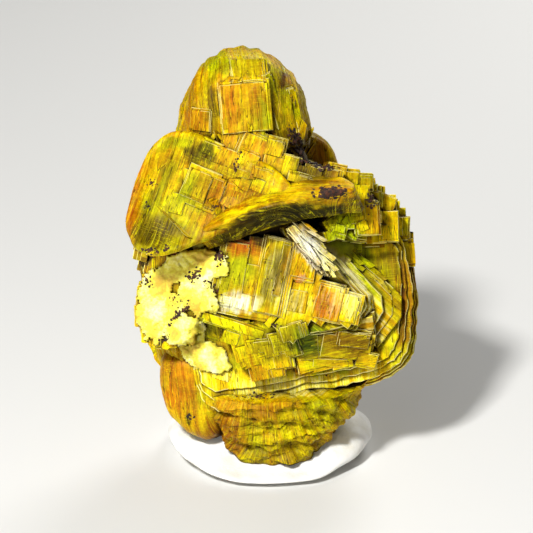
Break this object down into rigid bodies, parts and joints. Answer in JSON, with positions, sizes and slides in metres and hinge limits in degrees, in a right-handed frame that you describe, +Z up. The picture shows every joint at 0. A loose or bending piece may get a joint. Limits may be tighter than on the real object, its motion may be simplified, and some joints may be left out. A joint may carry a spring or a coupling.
{
  "type": "uranocircite specimen",
  "caption": "Thumbnail-size cluster of intergrown books of square, tabular crystals, yellow to green, standing upright on a small pad of mounting putty.",
  "frame": {"origin": "the middle of the putty's flat underside, on the surface that the specimen stands on", "axes": "+Z up, through the crown of the cluster; the specimen's best side faces -Y, and +X is to the right as one looks at it"},
  "size_m": [0.0147, 0.0108, 0.0213],
  "materials": {
    "uranocircite": "pearly, translucent at thin edges",
    "putty": "matt, pressed by hand"
  },
  "bodies": {
    "root": {"crystal_cluster": "uranocircite", "mounting_putty": "putty"}
  },
  "joints": []
}
